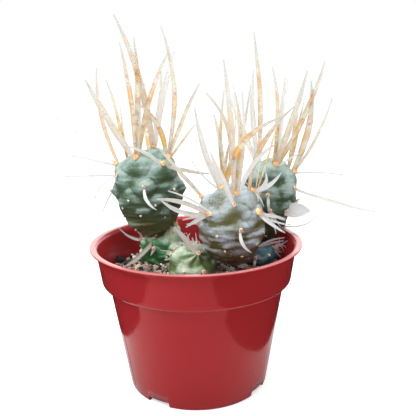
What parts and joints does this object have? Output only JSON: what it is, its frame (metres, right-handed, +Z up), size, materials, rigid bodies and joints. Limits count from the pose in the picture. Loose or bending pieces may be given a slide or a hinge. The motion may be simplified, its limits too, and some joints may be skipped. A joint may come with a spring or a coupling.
{
  "type": "potted paper spine cactus",
  "caption": "Clumping cactus with tuberculate joints and long flat papery spines, in gritty soil in a small tapered plastic nursery pot with a banded rim.",
  "frame": {"origin": "middle of the pot's flat underside, on the surface that it stands on", "axes": "+Z is up along the pot's axis, -Y is the front seen in the picture, +X is to the right of that view"},
  "size_m": [0.1696, 0.1104, 0.1915],
  "materials": {
    "pot_plastic": "injection-moulded polypropylene, red, soft gloss",
    "soil_mix": "dry gritty cactus mix of dark stones, tan grit and white perlite",
    "skin_green": "living stem skin, green with a grey wax bloom",
    "skin_grey_green": "living stem skin, grey-green with a pale wax bloom; ivory to golden papery spines",
    "skin_mint": "living stem skin, pale mint with olive creases",
    "skin_olive": "living stem skin, olive to maroon under a grey wax bloom; ivory to golden papery spines",
    "skin_blue_green": "living stem skin, dark blue-green",
    "skin_dark_green": "living stem skin, dark green, brown at the foot; ivory to golden papery spines"
  },
  "bodies": {
    "root": {"pot": "pot_plastic", "soil": "soil_mix", "joint_left_lower": "skin_green", "joint_left_upper": "skin_grey_green", "joint_centre_lower": "skin_mint", "joint_centre_upper": "skin_olive", "joint_right_lower": "skin_blue_green", "joint_right_upper": "skin_dark_green"}
  },
  "joints": []
}
